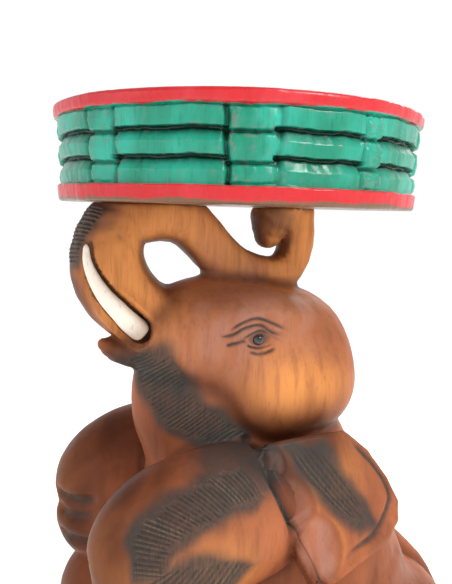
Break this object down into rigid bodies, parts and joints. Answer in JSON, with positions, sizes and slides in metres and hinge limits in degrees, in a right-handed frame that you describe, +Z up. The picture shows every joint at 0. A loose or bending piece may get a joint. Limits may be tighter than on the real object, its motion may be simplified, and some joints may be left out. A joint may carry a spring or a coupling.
{
  "type": "carved elephant stand",
  "caption": "Carved wooden elephant, seated with its head thrown back, whose raised trunk carries a round painted seat; inlaid tusks and eyes.",
  "frame": {"origin": "on the floor, on the axis of the round seat", "axes": "+Z up, the elephant faces -Y, +X is its left side"},
  "size_m": [0.324, 0.3866, 0.533],
  "materials": {
    "figure_wood": "waxed brown stain, hand carved",
    "seat_paint": "green gloss paint with red rims, worn",
    "tusk_cream": "polished cream bone colour",
    "eye_bead": "dark glossy bead",
    "dowel_wood": "bare turned hardwood"
  },
  "bodies": {
    "root": {"carved_elephant": "figure_wood", "seat_drum": "seat_paint", "left_tusk": "tusk_cream", "right_tusk": "tusk_cream", "left_eye": "eye_bead", "right_eye": "eye_bead", "front_dowel": "dowel_wood", "middle_dowel": "dowel_wood", "trunk_tip_dowel": "dowel_wood"}
  },
  "joints": []
}
